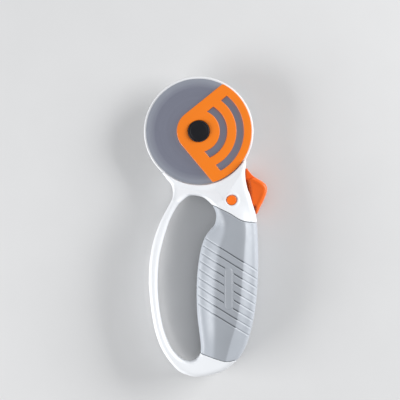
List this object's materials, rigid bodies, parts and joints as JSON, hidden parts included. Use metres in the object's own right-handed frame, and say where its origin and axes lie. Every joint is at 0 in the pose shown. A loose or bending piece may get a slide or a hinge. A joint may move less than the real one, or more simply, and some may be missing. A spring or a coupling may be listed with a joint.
{
  "type": "rotary cutter",
  "caption": "Rotary fabric cutter with a closed loop handle, soft grip, round blade under an orange cover plate, and a blade guard drawn back by a thumb trigger.",
  "frame": {"origin": "on the blade axis, at the flat back face of the blade nut, which rests on the table", "axes": "+X to the trigger side, +Y along the tool from the grip to the blade, +Z out of the front face"},
  "size_m": [0.0761, 0.1852, 0.024],
  "materials": {
    "white_body": "white moulded plastic, satin gloss",
    "white_guard": "white moulded plastic, satin gloss",
    "soft_grip": "soft-touch grey elastomer, fine matte texture",
    "blade_steel": "hardened tool steel, finely ground, satin",
    "orange_cover": "orange moulded plastic, satin",
    "red_orange": "red-orange moulded plastic, satin",
    "black_plastic": "black moulded plastic, matte",
    "plated_steel": "bright zinc plating"
  },
  "bodies": {
    "handle": {"front_shell": "white_body", "back_shell": "white_body", "front_grip": "soft_grip", "back_grip": "soft_grip", "blade_cover_plate": "orange_cover", "blade_bolt": "black_plastic", "spring_washer": "plated_steel", "trigger_pivot_pin": "plated_steel", "trigger_return_spring": "plated_steel", "lock_detent_wire": "plated_steel", "body_screw_1": "plated_steel", "body_screw_2": "plated_steel", "body_screw_3": "plated_steel", "body_screw_4": "plated_steel", "body_screw_5": "plated_steel", "body_screw_6": "plated_steel"},
    "blade": {"blade": "blade_steel"},
    "blade_nut": {"blade_nut_knob": "black_plastic", "blade_nut_insert": "plated_steel"},
    "guard": {"blade_guard": "white_guard"},
    "trigger": {"trigger": "red_orange", "guard_link_pin": "plated_steel"},
    "lock_button": {"lock_button": "red_orange", "lock_button_rear_cap": "red_orange"}
  },
  "joints": [
    {"name": "blade_spin", "type": "hinge", "parent": "handle", "child": "blade", "pos_m": [0, 0, 0.01245], "axis": [0, 0, 1], "continuous": true},
    {"name": "blade_nut_turn", "type": "hinge", "parent": "handle", "child": "blade_nut", "pos_m": [0, 0, 0.002], "axis": [0, 0, 1], "continuous": true},
    {"name": "trigger_squeeze", "type": "hinge", "parent": "handle", "child": "trigger", "pos_m": [0.03, -0.0485, 0.008], "axis": [0, 0, 1], "range_deg": [0, 22.55], "stiffness_Nm_per_rad": 0.2, "springref_deg": -17.19, "deforming": ["trigger_return_spring"]},
    {"name": "guard_slide", "type": "slide", "parent": "handle", "child": "guard", "axis": [0.4285, -0.9036, 0], "range_m": [0, 0.0045]},
    {"name": "lock_button_press", "type": "slide", "parent": "handle", "child": "lock_button", "axis": [0, 0, -1], "range_m": [0, 0.0022], "deforming": ["lock_detent_wire"]}
  ],
  "couplings": [
    {"joint": "guard_slide", "follows": "trigger_squeeze", "m_per_rad": 0.011426}
  ]
}
